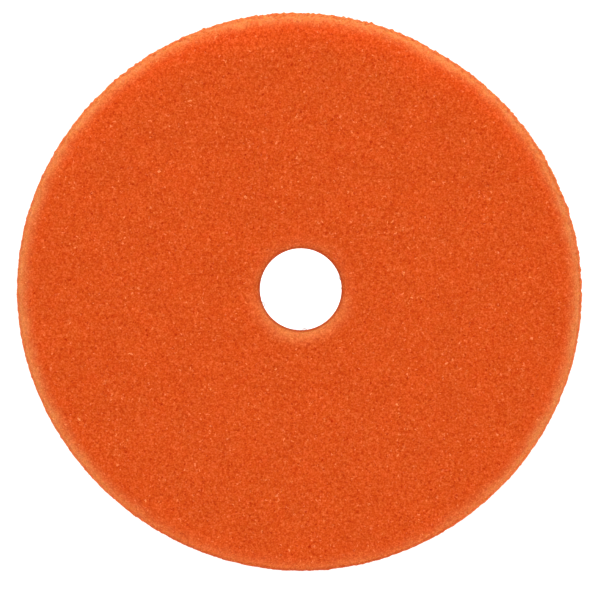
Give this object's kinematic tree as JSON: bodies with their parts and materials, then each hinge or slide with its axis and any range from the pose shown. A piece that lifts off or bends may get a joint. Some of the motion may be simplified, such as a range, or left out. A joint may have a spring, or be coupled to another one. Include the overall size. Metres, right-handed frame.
{
  "type": "polishing pad",
  "caption": "Round foam polishing pad: open-cell foam disc with a rounded working face, tapered back, loop fabric backing and a centre hole through every layer.",
  "frame": {"origin": "centre of the loop face, at the tips of the loops that the pad lies on", "axes": "+Z along the centre hole's axis, out of the working face; the pad is round, so X and Y are free"},
  "size_m": [0.15, 0.15, 0.0275],
  "materials": {
    "foam": "matte",
    "film": "satin",
    "knit": "matte",
    "loops": "matte"
  },
  "bodies": {
    "root": {"foam_disc": "foam", "adhesive_film": "film", "backing_knit": "knit", "loop_pile": "loops"}
  },
  "joints": []
}
